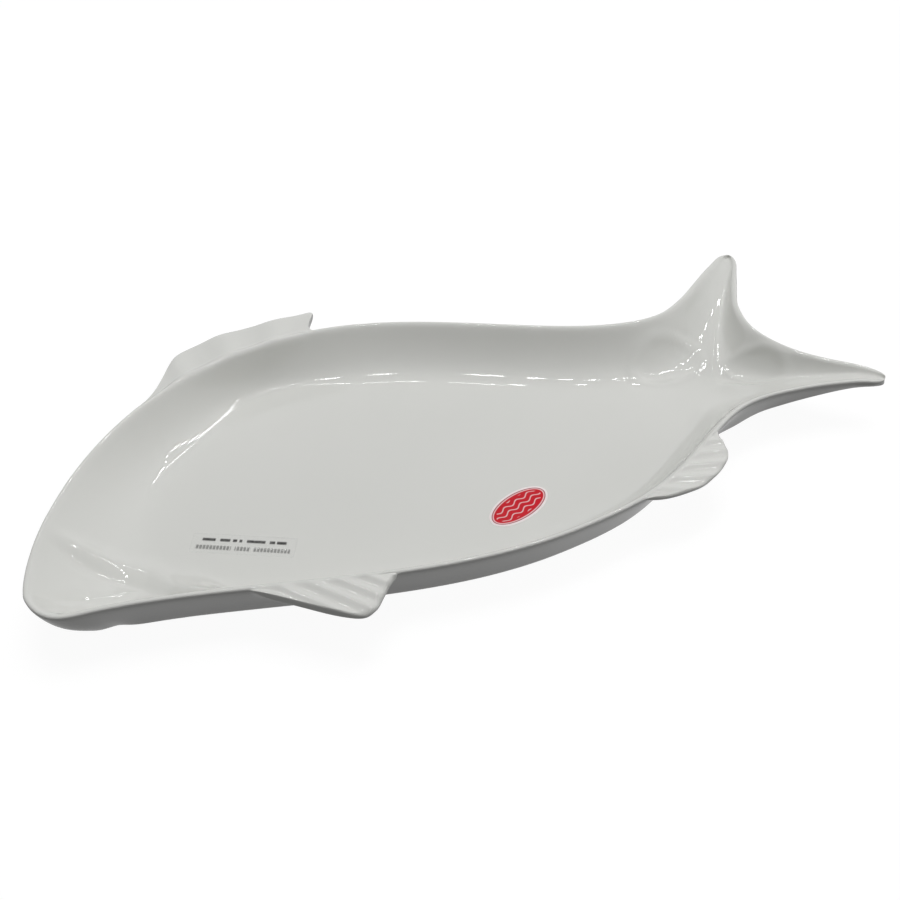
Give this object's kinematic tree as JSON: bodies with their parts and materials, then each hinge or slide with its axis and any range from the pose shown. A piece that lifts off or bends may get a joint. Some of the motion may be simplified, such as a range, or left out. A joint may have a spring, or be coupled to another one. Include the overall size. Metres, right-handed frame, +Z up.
{
  "type": "fish shaped platter",
  "caption": "Deep glazed porcelain serving platter in the outline of a fish, with a forked tail, ribbed fins, a gill ridge, a rolled lip and a foot ring.",
  "frame": {"origin": "middle of the plan of the bounding box, on the surface that the platter stands on", "axes": "+X along the fish from the head to the tail, +Y to the back of the fish, +Z up"},
  "size_m": [0.3613, 0.1866, 0.0254],
  "materials": {
    "glaze": "glossy white glaze",
    "red_paper": "satin coated paper",
    "clear_film": "clear glossy film"
  },
  "bodies": {
    "root": {"platter": "glaze", "oval_sticker": "red_paper", "clear_label": "clear_film"}
  },
  "joints": []
}
